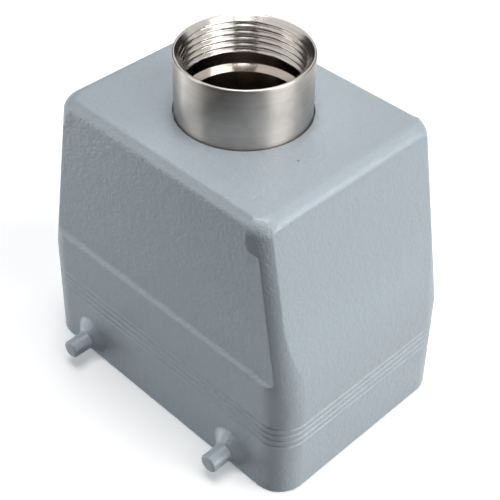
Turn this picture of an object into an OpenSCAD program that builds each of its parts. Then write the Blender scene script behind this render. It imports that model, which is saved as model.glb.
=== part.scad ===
// Top-entry hood of a rectangular power connector, with both contact inserts fitted.
// X runs along the long side, Y along the short side, Z up from the open rim.

/* [Hood shell] */
// Height from the rim to the flat top
hood_height = 75; // [70:0.2:92]
// Height of the knee, where the ends start to lean in
knee_height = 28.9; // [26:0.1:32]
// Half height of the soft bend at the knee
knee_blend = 1.3; // [0.4:0.1:3]
// Draft of the ends below the knee, in degrees
end_draft = 0.31; // [0:0.01:1]
// Draft of the long sides below the knee, in degrees
side_draft = 1.25; // [0.2:0.05:2]
// Lean of the ends above the knee, in degrees
end_lean = 10.64; // [4:0.02:13]
// Lean of the long sides above the knee, in degrees
side_lean = 0.78; // [0:0.02:3]
// Radius of the upright corners at the rim
rim_corner = 7.1; // [6:0.1:8]
// Radius of the leaning corners at the top
top_corner = 6.5; // [5:0.1:8]
// Radius of the edge round the flat top
top_edge = 3; // [1:0.1:4]
// Thickness of the side walls
wall = 3.2; // [2.6:0.1:3.3]
// Thickness of the roof
roof = 3.4; // [3:0.1:6]
// Thickness of the boss under the roof, round the cable entry
boss_height = 0.9; // [0.5:0.1:2]
// Reach of that boss beyond the washer
boss_rim = 1.2; // [0.6:0.1:2]

/* [Side panels] */
// Height of the ledge under each sunk side panel
ledge_height = 34.3; // [32:0.1:46]
// Depth of the sunk side panels
panel_depth = 0.9; // [0.6:0.05:1.3]
// Height of the ledge's slope
ledge_slope = 0.7; // [0.3:0.1:1.2]
// Height below the top where a panel's upper corners are cut off
panel_cut_drop = 8.1; // [6:0.1:12]
// Rise of each cut-off upper corner
panel_cut_rise = 2.6; // [0.6:0.1:3]
// Distance from the end of the top to a panel's top side
panel_end = 5.1; // [3:0.1:7]

/* [Rim grooves] */
// Number of fine grooves round the skirt
groove_count = 4; // [1:1:5]
// Height of the lowest groove
groove_height = 16; // [12:0.2:18]
// Distance from one groove to the next
groove_pitch = 1.85; // [1.2:0.01:2.1]
// Width of a groove
groove_width = 0.85; // [0.4:0.05:1]
// Depth of a groove
groove_depth = 0.35; // [0.2:0.05:0.6]

/* [Locking pegs] */
// Distance of a peg from the end of the shell
peg_inset = 16.3; // [13:0.1:20]
// Height of the pegs above the rim
peg_height = 5.7; // [5.4:0.1:8]
// Diameter of a peg
peg_diameter = 4.7; // [3:0.1:6]
// Reach of a peg out of the wall
peg_reach = 7.4; // [4:0.2:10]
// Radius of the round end of a peg
peg_round = 0.6; // [0.2:0.1:1]
// Diameter of the cone that a peg grows out of
peg_base = 10; // [7:0.2:10.6]
// Height of that cone
peg_cone = 1.8; // [0.5:0.1:3]

/* [Cable entry] */
// Nominal diameter of the entry thread
thread_diameter = 28.3; // [26:0.1:30]
// Pitch of the entry thread
thread_pitch = 1.59; // [1:0.01:2]
// Wall of the bush outside the thread
bush_wall = 1.15; // [0.8:0.05:2]
// Height of the bush above the top
bush_height = 14.7; // [13:0.1:18]
// Length of the threaded wall
thread_length = 8; // [6.4:0.1:8.6]
// Height of the undercut below the thread
undercut_height = 3.4; // [2:0.1:4]
// Depth of the undercut beyond the thread
undercut_step = 0.25; // [0.1:0.05:0.5]
// Width of the ledge below the undercut
passage_step = 2.75; // [2.2:0.05:3.2]
// Width of the countersink at the mouth
mouth_step = 0.65; // [0.2:0.05:0.7]
// Depth of that countersink
mouth_depth = 1.2; // [0.6:0.1:1.4]
// Width of the bush's shoulder on its seat
shoulder = 1.45; // [1:0.05:1.6]
// Length of neck below the lock nut
neck_spare = 3.2; // [1:0.2:5]
// Depth of the round seat sunk in the top
seat_depth = 1.8; // [1.2:0.1:2.4]
// Thickness of the flat gasket in the seat
gasket_thickness = 0.6; // [0.4:0.1:1]
// Width of the ring of washer round the neck
entry_washer_rim = 4.4; // [3:0.1:6]
// Thickness of the washer under the roof
entry_washer_thickness = 1; // [0.6:0.1:1.6]
// Wall of the lock nut at its flats
nut_wall = 2.9; // [2:0.1:5]
// Height of the lock nut
nut_height = 4; // [3:0.2:5]

/* [Contact inserts] */
// Number of contacts in one row
contacts_per_row = 8; // [5:1:9]
// Distance between contacts in a row
contact_pitch = 6.5; // [5.8:0.1:7.4]
// Distance between the two rows
row_pitch = 8.4; // [7.8:0.1:9.2]
// Distance from the last contact to the end of the body
body_end = 6.05; // [5:0.05:7]
// Distance from a row to the side of the body
body_side = 5.8; // [5:0.1:6.4]
// Reach of the flange beyond the end of the body
flange_end = 7.3; // [7.3:0.1:8]
// Reach of the flange beyond the side of the body
flange_side = 1.6; // [1.2:0.1:2]
// Gap between the two flanges
insert_gap = 0.8; // [0.4:0.1:1.2]
// Room between the flanges and the end walls
end_play = 2.2; // [1.6:0.05:2.6]
// Room between the flanges and the side walls
side_play = 1.55; // [1.1:0.05:2]
// Radius of the flange's corners
flange_corner = 4.2; // [4:0.1:5]
// Height of the flange's lower face above the rim
flange_height = 5; // [4:0.2:6]
// Thickness of the flange
flange_thickness = 3; // [2:0.2:4]
// Rim of the body above the terminal blocks
body_rim = 2.5; // [0.5:0.5:4]
// Distance from the rim up to the insert's mating edge
mating_setback = 0.6; // [0.4:0.1:2]
// Chamfer round the body's two ends
body_edge = 0.4; // [0.2:0.1:0.6]
// Wall round the mating recess
recess_wall = 1.7; // [1.2:0.1:2]
// Height of the recess floor above the rim
recess_floor = 15; // [13:0.5:16]
// Thickness of the wall that carries the contacts
carrier_thickness = 3; // [2:0.5:4]
// Width of the polarising rib in the recess
key_width = 3; // [2:0.5:5]

/* [Contacts] */
// Diameter of a contact pin
pin_diameter = 2.5; // [1.6:0.1:2.8]
// Distance of the pin tips above the rim
pin_tip_height = 3.2; // [2:0.2:6]
// Width of a contact's terminal block
terminal_width = 5; // [4.6:0.1:5]
// Height of a contact's terminal block
terminal_height = 9.5; // [8:0.5:11]
// Diameter of the wire hole
wire_hole = 3.2; // [2:0.1:3.4]
// Depth of the wire hole
wire_depth = 7.5; // [6:0.5:7.5]
// Play of a block in its pocket, on each side
pocket_play = 0.2; // [0.1:0.05:0.25]
// Distance of the terminal screw below the block's top
terminal_screw_drop = 3.5; // [2.5:0.5:5]
// Thread diameter of a terminal screw
terminal_screw = 3; // [2:0.1:3.2]
// Head diameter of a terminal screw
terminal_head = 3.6; // [3.2:0.1:4]
// Head length of a terminal screw
terminal_head_length = 1.8; // [1:0.1:2.4]
// Thickness of the leaf that guards the wire strands
guard_thickness = 0.3; // [0.2:0.05:0.5]

/* [Fixing screws] */
// Distance from a fixing screw to the end of the flange
screw_edge_x = 3.1; // [3:0.05:3.4]
// Distance from a fixing screw to the side of the flange
screw_edge_y = 3.6; // [3.4:0.05:3.8]
// Thread diameter of the fixing screws
screw_diameter = 4; // [3:0.1:4]
// Head diameter of the fixing screws
screw_head = 6; // [5.6:0.1:6.2]
// Head height of the fixing screws
screw_head_height = 2.2; // [1.6:0.1:2.4]
// Length of the fixing screws below the head
screw_length = 12; // [10:0.5:14]
// Thickness of the spring washers
spring_washer = 0.6; // [0.4:0.1:0.8]
// Width of the posts that the screws enter
post_width = 7.4; // [7:0.1:7.6]
// Height of the posts above the flange
post_height = 26; // [15:0.5:30]

/* [Earth terminals] */
// Play of an earth terminal between the posts
earth_play = 0.6; // [0.3:0.1:1]
// Length of an earth terminal
earth_length = 6.2; // [6:0.1:6.4]
// Height of an earth terminal above the flange
earth_height = 6.5; // [5:0.5:8]
// Thickness of the blade that reaches the mating side
blade_thickness = 1; // [0.6:0.1:1.2]
// Width of that blade
blade_width = 5; // [3:0.2:6]
// Distance of the blade's end above the rim
blade_tip = 1.6; // [1:0.2:3]
// Thread diameter of the earth screw
earth_screw = 4; // [3:0.1:4]
// Head diameter of the earth screw
earth_head = 6; // [5:0.1:6.2]
// Head height of the earth screw
earth_head_height = 2.2; // [1.6:0.1:3]
// Thickness of the square clamp plate
clamp_plate = 1; // [0.6:0.1:1.6]

/* [Hidden] */
$fn = 48;

// Running gap between a loose piece and its hole
fit_gap = 0.3;
// Gap between a screw and its thread
thread_gap = 0.1;
// Metal left between a post and the outer face
skin = 0.6;
// Points on each rounded corner of the shell
corner_steps = 10;
// Overrun of a cut past the face it opens
over = 1;

body_length = (contacts_per_row - 1) * contact_pitch + 2 * body_end;
body_width = row_pitch + 2 * body_side;
flange_length = body_length + 2 * flange_end;
flange_width = body_width + 2 * flange_side;
insert_pitch = flange_width + insert_gap;
screw_spacing_x = flange_length - 2 * screw_edge_x;
screw_spacing_y = flange_width - 2 * screw_edge_y;
skirt_length = flange_length + 2 * (end_play + wall);
skirt_width = insert_pitch + flange_width + 2 * (side_play + wall);
knee_length = skirt_length - 2 * knee_height * tan(end_draft);
knee_width = skirt_width - 2 * knee_height * tan(side_draft);
top_length = knee_length - 2 * (hood_height - knee_height) * tan(end_lean);
top_width = knee_width - 2 * (hood_height - knee_height) * tan(side_lean);
seat_z = hood_height - seat_depth;
shoulder_z = seat_z + gasket_thickness;
mouth_z = hood_height + bush_height;
ceiling_z = hood_height - roof;
roof_z = ceiling_z - boss_height;
nut_z = roof_z - entry_washer_thickness - nut_height;
bush_r = thread_diameter / 2 + bush_wall;
neck_r = bush_r - shoulder;
boss_r = neck_r + entry_washer_rim + boss_rim;
flange_top = flange_height + flange_thickness;
post_top = flange_top + post_height;
block_foot = recess_floor + carrier_thickness;
body_top = block_foot + terminal_height + body_rim;
earth_width = screw_spacing_y - post_width - 2 * earth_play;
pocket = terminal_width + 2 * pocket_play;
earth_x = body_length / 2 + fit_gap + earth_length / 2;
earth_top = flange_top + earth_height;
screw_z = block_foot + terminal_height - terminal_screw_drop;

function mix(a, b, t) = a + (b - a) * t;
function slope(a, b, h) = (b - a) / h;

// Straight skirt, then a lean from the knee to the top, joined by a soft bend
function bent(z, rim, knee, top) =
    let (s1 = slope(rim, knee, knee_height),
         s2 = slope(knee, top, hood_height - knee_height),
         t = z - knee_height)
    t <= -knee_blend ? knee + s1 * t
    : t >= knee_blend ? knee + s2 * t
    : knee + s1 * t + (s2 - s1) * pow(t + knee_blend, 2) / (4 * knee_blend);
function shell_length(z) = bent(z, skirt_length, knee_length, top_length);
function shell_width(z) = bent(z, skirt_width, knee_width, top_width);
function shell_corner(z) = mix(rim_corner, top_corner, z / hood_height);

// Outline of a rectangle with round corners, counter-clockwise
function outline(l, w, r) = [
    for (q = [0:3]) for (k = [0:corner_steps])
        let (a = 90 * q + 90 * k / corner_steps,
             sx = (q == 0 || q == 3) ? 1 : -1,
             sy = q < 2 ? 1 : -1)
        [sx * (l / 2 - r) + r * cos(a), sy * (w / 2 - r) + r * sin(a)]];

// Loft through rings given as [length, width, corner radius, height]
module loft(rings) {
    m = 4 * (corner_steps + 1);
    n = len(rings);
    polyhedron(
        points = [for (s = rings) for (p = outline(s[0], s[1], s[2])) [p.x, p.y, s[3]]],
        faces = concat(
            [[for (i = [0:m - 1]) i]],
            [[for (i = [m - 1:-1:0]) (n - 1) * m + i]],
            [for (j = [0:n - 2]) for (i = [0:m - 1])
                [j * m + i, j * m + i + m, j * m + (i + 1) % m + m]],
            [for (j = [0:n - 2]) for (i = [0:m - 1])
                [j * m + i, j * m + (i + 1) % m + m, j * m + (i + 1) % m]]));
}

module rounded_plate(l, w, r, h) {
    linear_extrude(h) {
        square([l - 2 * r, w], center = true);
        square([l, w - 2 * r], center = true);
        for (x = [-1, 1]) for (y = [-1, 1])
            translate([x * (l / 2 - r), y * (w / 2 - r)]) circle(r);
    }
}

module ring(outer, inner, h) {
    difference() {
        cylinder(h = h, r = outer);
        translate([0, 0, -over]) cylinder(h = h + 2 * over, r = inner);
    }
}

// Outer form of the shell: skirt, knee, leaning ends and rounded top edge
module shell_outside() {
    edge_z = hood_height - top_edge;
    l = shell_length(edge_z);
    w = shell_width(edge_z);
    r = shell_corner(edge_z);
    loft(concat(
        [[skirt_length, skirt_width, rim_corner, 0]],
        [for (k = [-1:0.5:1])
            let (z = knee_height + k * knee_blend)
            [shell_length(z), shell_width(z), shell_corner(z), z]],
        [for (a = [0:18:90])
            let (inset = top_edge * (1 - cos(a)))
            [l - 2 * inset, w - 2 * inset, r - inset, edge_z + top_edge * sin(a)]]));
}

// Hollow of the shell, open at the rim
module shell_inside() {
    loft([for (z = [-over, knee_height, ceiling_z])
        [shell_length(z) - 2 * wall, shell_width(z) - 2 * wall, shell_corner(z) - wall, z]]);
}

// Cut that sinks the panel of one long side, from the ledge up through the top
module side_panel() {
    flat_w = shell_width(ledge_height) / 2 - panel_depth;
    flat_t = shell_width(hood_height) / 2 - panel_depth;
    edge_z = hood_height - top_edge;
    edge_y = mix(flat_w, flat_t, (edge_z - ledge_height) / (hood_height - ledge_height)) - top_edge;
    slope_y = flat_w + panel_depth + over;
    cut_z = hood_height - panel_cut_drop;
    reach = skirt_length / 2 + over;
    top_x = top_length / 2 - panel_end;
    intersection() {
        rotate([90, 0, 90]) linear_extrude(2 * reach, center = true)
            polygon(concat(
                [[-flat_w, ledge_height]],
                [for (a = [0:15:90]) [-edge_y - top_edge * cos(a), edge_z + top_edge * sin(a)]],
                [[-edge_y, hood_height + over], [-slope_y, hood_height + over],
                    [-slope_y, ledge_height - ledge_slope * (1 + over / panel_depth)]]));
        rotate([90, 0, 0]) linear_extrude(skirt_width)
            polygon([[-reach, 0], [reach, 0], [reach, cut_z],
                [top_x + 1.6 * panel_cut_rise, cut_z],
                [top_x + 0.36 * panel_cut_rise, cut_z + 0.42 * panel_cut_rise],
                [top_x, cut_z + panel_cut_rise],
                [top_x, hood_height + 2 * over], [-top_x, hood_height + 2 * over],
                [-top_x, cut_z + panel_cut_rise],
                [-top_x - 0.36 * panel_cut_rise, cut_z + 0.42 * panel_cut_rise],
                [-top_x - 1.6 * panel_cut_rise, cut_z],
                [-reach, cut_z]]);
    }
}

// One fine groove that runs right round the skirt
module rim_groove(z) {
    translate([0, 0, z - groove_width / 2]) difference() {
        translate([-skirt_length, -skirt_width, 0])
            cube([2 * skirt_length, 2 * skirt_width, groove_width]);
        translate([0, 0, -over])
            rounded_plate(shell_length(z) - 2 * groove_depth, shell_width(z) - 2 * groove_depth,
                shell_corner(z) - groove_depth, groove_width + 2 * over);
    }
}

// Locking peg on its cone, along -Y from the wall
module locking_peg() {
    r = peg_diameter / 2;
    rotate([90, 0, 0]) rotate_extrude()
        polygon(concat(
            [[0, -wall / 2], [peg_base / 2, -wall / 2], [peg_base / 2, 0],
                [r + 0.5, peg_cone], [r, peg_cone + 0.3]],
            [for (a = [0:15:90])
                [r - peg_round + peg_round * cos(a), peg_reach - peg_round + peg_round * sin(a)]],
            [[0, peg_reach]]));
}

// Posts on the end walls that take the fixing screws of both inserts
module insert_posts() {
    inner = (screw_spacing_x - post_width) / 2;
    side = insert_pitch / 2 + screw_spacing_y / 2;
    middle = insert_pitch / 2 - screw_spacing_y / 2;
    l = shell_length(post_top) - 2 * skin;
    w = shell_width(post_top) - 2 * (skin + panel_depth);
    translate([0, 0, flange_top]) linear_extrude(post_top - flange_top) intersection() {
        polygon(outline(l, w, shell_corner(post_top)));
        for (x = [-1, 1]) translate([x * (inner + l / 4), 0]) {
            square([l / 2, 2 * middle + post_width], center = true);
            for (y = [-1, 1]) translate([0, y * (side - post_width / 2 + w / 4)])
                square([l / 2, w / 2], center = true);
        }
    }
}

module hood() {
    color("lightsteelblue") difference() {
        union() {
            difference() {
                shell_outside();
                shell_inside();
            }
            insert_posts();
            translate([0, 0, roof_z]) cylinder(h = boss_height + roof / 2, r = boss_r);
            for (turn = [0, 180]) rotate([0, 0, turn]) for (x = [-1, 1])
                translate([x * (skirt_length / 2 - peg_inset), -shell_width(peg_height) / 2, peg_height])
                    locking_peg();
        }
        for (turn = [0, 180]) rotate([0, 0, turn]) side_panel();
        for (i = [0:groove_count - 1]) rim_groove(groove_height + i * groove_pitch);
        translate([0, 0, seat_z]) cylinder(h = seat_depth + over, r = bush_r + fit_gap);
        translate([0, 0, roof_z - over]) cylinder(h = hood_height - roof_z + over, r = neck_r + fit_gap);
        screw_places() translate([0, 0, flange_top - over])
            cylinder(h = screw_length - flange_thickness + 2 + over, r = screw_diameter / 2);
    }
}

// Turned bush: outer wall, shoulder and neck, with the stepped passage inside
module entry_bush() {
    thread_r = thread_diameter / 2 - 0.479 * thread_pitch;
    thread_end = mouth_z - mouth_depth - thread_length;
    under_r = thread_diameter / 2 + undercut_step;
    pass_r = under_r - passage_step;
    ledge_z = thread_end - undercut_height;
    neck_end_z = nut_z - neck_spare;
    color("silver") rotate_extrude()
        polygon([[pass_r, neck_end_z], [neck_r - 0.4, neck_end_z], [neck_r, neck_end_z + 0.4],
            [neck_r, shoulder_z], [bush_r, shoulder_z], [bush_r, mouth_z - 0.2],
            [bush_r - 0.2, mouth_z], [thread_diameter / 2 + mouth_step, mouth_z],
            [thread_r, mouth_z - mouth_depth], [thread_r, thread_end],
            [under_r, thread_end], [under_r, ledge_z], [pass_r + 0.4, ledge_z], [pass_r, ledge_z - 0.4]]);
}

module entry_gasket() {
    color("black") translate([0, 0, seat_z]) ring(bush_r, neck_r + thread_gap, gasket_thickness);
}

module entry_washer() {
    color("gainsboro") translate([0, 0, roof_z - entry_washer_thickness])
        ring(neck_r + entry_washer_rim, neck_r + fit_gap, entry_washer_thickness);
}

// Six-sided nut with both faces chamfered
module entry_lock_nut() {
    r = (neck_r + nut_wall) / cos(30);
    color("silver") translate([0, 0, nut_z]) difference() {
        intersection() {
            cylinder(h = nut_height, r = r, $fn = 6);
            rotate_extrude() polygon([[0, 0], [r - 1.2, 0], [r, 0.7],
                [r, nut_height - 0.7], [r - 1.2, nut_height], [0, nut_height]]);
        }
        translate([0, 0, -over]) cylinder(h = nut_height + 2 * over, r = neck_r + thread_gap);
    }
}

// Places both inserts side by side
module at_insert(side) {
    translate([0, side * insert_pitch / 2, 0]) children();
}

// Places one child at each contact, with its screw side turned outwards
module contact_places() {
    for (row = [0, 180]) rotate([0, 0, row])
        for (i = [0:contacts_per_row - 1])
            translate([(i - (contacts_per_row - 1) / 2) * contact_pitch, -row_pitch / 2, 0])
                children();
}

module corner_places() {
    for (x = [-1, 1]) for (y = [-1, 1])
        translate([x * screw_spacing_x / 2, y * screw_spacing_y / 2, 0]) children();
}

module screw_places() {
    for (side = [-1, 1]) at_insert(side) corner_places() children();
}

// Moulded insert: flange, body with terminal pockets, collar with mating recess
module contact_insert() {
    recess_l = body_length - 2 * recess_wall;
    recess_w = body_width - 2 * recess_wall;
    color("dimgray") difference() {
        union() {
            translate([0, 0, flange_height])
                rounded_plate(flange_length, flange_width, flange_corner, flange_thickness);
            loft([for (s = [[body_edge, mating_setback], [0, mating_setback + body_edge],
                [0, body_top - body_edge], [body_edge, body_top]])
                [body_length - 2 * s[0], body_width - 2 * s[0], 1.4 - s[0], s[1]]]);
        }
        difference() {
            translate([-recess_l / 2, -recess_w / 2, mating_setback - over])
                cube([recess_l, recess_w, recess_floor - mating_setback + over]);
            // Ribs that let the mate in one way round only
            translate([recess_l / 2 - 1.2, -key_width / 2, mating_setback])
                cube([2.2, key_width, recess_floor]);
            for (y = [-1, 1])
                translate([-recess_l / 2 - 1, y * recess_w / 4 - key_width / 2, mating_setback])
                    cube([2.2, key_width, recess_floor]);
        }
        contact_places() {
            translate([-pocket / 2, -pocket / 2, block_foot])
                cube([pocket, pocket, body_top]);
            translate([0, 0, recess_floor - over])
                cylinder(h = carrier_thickness + 2 * over, r = pin_diameter / 2 + thread_gap);
            translate([0, 0, screw_z]) rotate([90, 0, 0])
                cylinder(h = body_width, r = terminal_head / 2 + thread_gap);
        }
        corner_places() translate([0, 0, flange_height - over])
            cylinder(h = flange_thickness + 2 * over, r = screw_diameter / 2 + fit_gap / 2);
        for (x = [-1, 1])
            translate([x * earth_x, 0, flange_top])
                cube([blade_thickness + 2 * pocket_play, blade_width + 2 * pocket_play,
                    4 * flange_thickness], center = true);
    }
}

module insert_a() {
    at_insert(-1) contact_insert();
}

module insert_b() {
    at_insert(1) rotate([0, 0, 180]) contact_insert();
}

// Turned pin with a milled terminal block, drilled for wire and screw
module contact() {
    r = pin_diameter / 2;
    difference() {
        union() {
            translate([-terminal_width / 2, -terminal_width / 2, block_foot])
                cube([terminal_width, terminal_width, terminal_height]);
            rotate_extrude() polygon([[0, pin_tip_height], [r / 2, pin_tip_height + r / 8],
                [r, pin_tip_height + r], [r, block_foot + 1], [0, block_foot + 1]]);
        }
        translate([0, 0, block_foot + terminal_height - wire_depth])
            cylinder(h = wire_depth + over, r = wire_hole / 2);
        translate([0, 0, screw_z]) rotate([90, 0, 0])
            cylinder(h = terminal_width, r = terminal_screw / 2);
    }
}

module contacts(side) {
    color("goldenrod") at_insert(side) contact_places() contact();
}

module contacts_a() { contacts(-1); }
module contacts_b() { contacts(1); }

// Slotted clamp screw, its head on the outer face of the terminal block
module terminal_screw_piece() {
    reach = terminal_width / 2 - wire_hole / 2 + 0.9;
    translate([0, -terminal_width / 2, screw_z]) rotate([90, 0, 0]) difference() {
        union() {
            cylinder(h = terminal_head_length, r = terminal_head / 2);
            translate([0, 0, -reach]) cylinder(h = reach + 0.1, r = terminal_screw / 2 - thread_gap);
        }
        translate([-terminal_head, -0.3, terminal_head_length - 0.7])
            cube([2 * terminal_head, 0.6, over + 0.7]);
    }
}

module terminal_screws(side) {
    color("gainsboro") at_insert(side) contact_places() terminal_screw_piece();
}

module terminal_screws_a() { terminal_screws(-1); }
module terminal_screws_b() { terminal_screws(1); }

// Bent leaf between the screw's tip and the wire strands, hooked over the block
module wire_guard() {
    tip_y = wire_hole / 2 - 0.9;
    leaf_w = 1.6;
    top = block_foot + terminal_height;
    color("silver") rotate([90, 0, 90]) linear_extrude(leaf_w, center = true)
        polygon([[-tip_y, screw_z - 1.5], [-tip_y + guard_thickness, screw_z - 1.5],
            [-tip_y + guard_thickness, top + guard_thickness],
            [-terminal_width / 2, top + guard_thickness], [-terminal_width / 2, top], [-tip_y, top]]);
}

module wire_guards_a() { at_insert(-1) contact_places() wire_guard(); }
module wire_guards_b() { at_insert(1) contact_places() wire_guard(); }

// Earth terminal: drilled block on the flange with a blade to the mating side
module earth_terminal() {
    color("darkkhaki") difference() {
        union() {
            translate([-earth_length / 2, -earth_width / 2, flange_top])
                cube([earth_length, earth_width, earth_height]);
            translate([-blade_thickness / 2, -blade_width / 2, blade_tip])
                cube([blade_thickness, blade_width, earth_top - blade_tip]);
        }
        translate([0, 0, flange_top + 1]) cylinder(h = earth_height, r = earth_screw / 2);
    }
}

module earth_place(side, end) {
    at_insert(side) translate([end * earth_x, 0, 0]) children();
}

module earth_terminal_a_left() { earth_place(-1, -1) earth_terminal(); }
module earth_terminal_a_right() { earth_place(-1, 1) earth_terminal(); }
module earth_terminal_b_left() { earth_place(1, -1) earth_terminal(); }
module earth_terminal_b_right() { earth_place(1, 1) earth_terminal(); }

module earth_clamp_plates() {
    color("gainsboro") for (side = [-1, 1]) for (end = [-1, 1]) earth_place(side, end)
        translate([0, 0, earth_top]) difference() {
            translate([-earth_length / 2, -earth_length / 2, 0])
                cube([earth_length, earth_length, clamp_plate]);
            translate([0, 0, -over])
                cylinder(h = clamp_plate + 2 * over, r = earth_screw / 2 + fit_gap / 2);
        }
}

// Pan-head screw with a crossed recess, head up
module pan_screw(head, head_h, thread, length) {
    difference() {
        union() {
            rotate_extrude() polygon([[0, 0], [head / 2, 0], [head / 2, head_h * 0.5],
                [head / 2 - head_h * 0.3, head_h * 0.9], [head / 4, head_h], [0, head_h]]);
            translate([0, 0, -length]) cylinder(h = length + 0.1, r = thread / 2 - thread_gap);
        }
        for (a = [0, 90]) rotate([0, 0, a])
            translate([-head * 0.3, -head * 0.06, head_h * 0.5]) cube([head * 0.6, head * 0.12, head_h]);
    }
}

module earth_screws() {
    color("gainsboro") for (side = [-1, 1]) for (end = [-1, 1]) earth_place(side, end)
        translate([0, 0, earth_top + clamp_plate])
            pan_screw(earth_head, earth_head_height, earth_screw, clamp_plate + earth_height - 2);
}

module fixing_screws() {
    color("silver") screw_places() translate([0, 0, flange_height - spring_washer])
        rotate([180, 0, 0]) pan_screw(screw_head, screw_head_height, screw_diameter, screw_length);
}

module spring_washers() {
    color("gray") screw_places() translate([0, 0, flange_height - spring_washer])
        ring(screw_head / 2, screw_diameter / 2 + thread_gap, spring_washer);
}

hood();
entry_bush();
entry_gasket();
entry_washer();
entry_lock_nut();
insert_a();
insert_b();
contacts_a();
contacts_b();
terminal_screws_a();
terminal_screws_b();
wire_guards_a();
wire_guards_b();
earth_terminal_a_left();
earth_terminal_a_right();
earth_terminal_b_left();
earth_terminal_b_right();
earth_clamp_plates();
earth_screws();
fixing_screws();
spring_washers();
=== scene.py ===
import math

import bmesh
import bpy
from mathutils import Matrix, Vector


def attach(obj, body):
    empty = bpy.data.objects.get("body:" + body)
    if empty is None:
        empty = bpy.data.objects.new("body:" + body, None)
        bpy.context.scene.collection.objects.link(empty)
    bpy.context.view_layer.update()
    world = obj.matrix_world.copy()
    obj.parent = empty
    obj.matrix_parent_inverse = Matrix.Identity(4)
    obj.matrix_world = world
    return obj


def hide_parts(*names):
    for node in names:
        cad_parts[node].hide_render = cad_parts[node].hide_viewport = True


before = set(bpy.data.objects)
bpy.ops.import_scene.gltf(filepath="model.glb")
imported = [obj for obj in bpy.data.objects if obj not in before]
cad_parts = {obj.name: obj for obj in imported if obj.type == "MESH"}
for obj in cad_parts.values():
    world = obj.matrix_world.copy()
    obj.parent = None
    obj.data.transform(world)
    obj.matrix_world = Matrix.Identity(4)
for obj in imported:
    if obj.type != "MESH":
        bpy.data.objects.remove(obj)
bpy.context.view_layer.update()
mm = 0.001
mergeDistance = 0.000002  # in metres
print("frame loaded:", len(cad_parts), "nodes")


def clearSelection():
    if bpy.context.object and bpy.context.object.mode != "OBJECT":
        bpy.ops.object.mode_set(mode="OBJECT")
    bpy.ops.object.select_all(action="DESELECT")


def makeActive(piece):
    clearSelection()
    piece.select_set(True)
    bpy.context.view_layer.objects.active = piece


def editMode(piece):
    makeActive(piece)
    bpy.ops.object.mode_set(mode="EDIT")


def settle(piece):
    # place and size go into the mesh, so the object stays at the origin
    makeActive(piece)
    bpy.ops.object.transform_apply(location=True, rotation=True, scale=True)


def fixNormals(piece):
    editMode(piece)
    bpy.ops.mesh.select_all(action="SELECT")
    bpy.ops.mesh.remove_doubles(threshold=mergeDistance)
    bpy.ops.mesh.normals_make_consistent(inside=False)
    bpy.ops.object.mode_set(mode="OBJECT")


def applyModifier(piece, kind, **values):
    makeActive(piece)
    mod = piece.modifiers.new(kind.lower(), kind)
    for key, value in values.items():
        setattr(mod, key, value)
    bpy.ops.object.modifier_apply(modifier=mod.name)


def smoothPiece(piece, degrees):
    makeActive(piece)
    bpy.ops.object.shade_smooth_by_angle(angle=math.radians(degrees))


def joinPieces(main, others):
    clearSelection()
    for other in others:
        other.select_set(True)
    main.select_set(True)
    bpy.context.view_layer.objects.active = main
    bpy.ops.object.join()
    return main


def startRing(name, points):
    # a circle primitive whose points are laid on the first outline
    clearSelection()
    bpy.ops.mesh.primitive_circle_add(vertices=len(points), radius=points[0][0] * mm,
                                      fill_type="NOTHING")
    piece = bpy.context.object
    piece.name = name
    piece.data.name = name
    bpy.ops.object.mode_set(mode="EDIT")
    bm = bmesh.from_edit_mesh(piece.data)
    order = bm.verts.layers.int.new("order")
    bm.verts.ensure_lookup_table()
    for i, v in enumerate(bm.verts):
        v[order] = i
        v.co = Vector(points[i]) * mm
        v.select = True
    for e in bm.edges:
        e.select = True
    bmesh.update_edit_mesh(piece.data)
    return piece


def nextRing(piece, points):
    # the last outline is extruded and its points are laid on the next one
    bpy.ops.mesh.extrude_edges_move()
    bm = bmesh.from_edit_mesh(piece.data)
    order = bm.verts.layers.int["order"]
    for v in bm.verts:
        if v.select:
            v.co = Vector(points[v[order]]) * mm
    bmesh.update_edit_mesh(piece.data)


def closeTube(piece):
    # joins the first and the last outline, so that the wall is closed
    bpy.ops.mesh.select_all(action="DESELECT")
    bm = bmesh.from_edit_mesh(piece.data)
    for e in bm.edges:
        if e.is_boundary:
            e.select_set(True)
    bmesh.update_edit_mesh(piece.data)
    bpy.ops.mesh.bridge_edge_loops()


def closeEnds(piece):
    # fills each open end with a flat face
    bpy.ops.mesh.select_all(action="DESELECT")
    bpy.ops.mesh.select_mode(type="EDGE")
    bm = bmesh.from_edit_mesh(piece.data)
    for e in bm.edges:
        e.select = e.is_boundary
    bmesh.update_edit_mesh(piece.data)
    bpy.ops.mesh.edge_face_add()
    bpy.ops.mesh.select_mode(type="VERT")


def circlePoints(radius, z, count):
    return [(radius * math.cos(2 * math.pi * i / count),
             radius * math.sin(2 * math.pi * i / count), z) for i in range(count)]


def lathe(name, profile, count):
    # profile is a list of (radius, height) in mm
    piece = startRing(name, circlePoints(*profile[0], count))
    for radius, z in profile[1:]:
        nextRing(piece, circlePoints(radius, z, count))
    closeEnds(piece)
    fixNormals(piece)
    return piece


def newGroup(name, inputs, outputs):
    group = bpy.data.node_groups.new(name, "ShaderNodeTree")
    for label, kind, value in inputs:
        socket = group.interface.new_socket(name=label, in_out="INPUT", socket_type=kind)
        if value is not None:
            socket.default_value = value
    for label, kind in outputs:
        group.interface.new_socket(name=label, in_out="OUTPUT", socket_type=kind)
    start = group.nodes.new("NodeGroupInput")
    end = group.nodes.new("NodeGroupOutput")
    return group, start, end


def feed(tree, socket, value):
    # value is another node's output or a plain value
    if hasattr(value, "links"):
        tree.links.new(value, socket)
    else:
        socket.default_value = value


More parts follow.
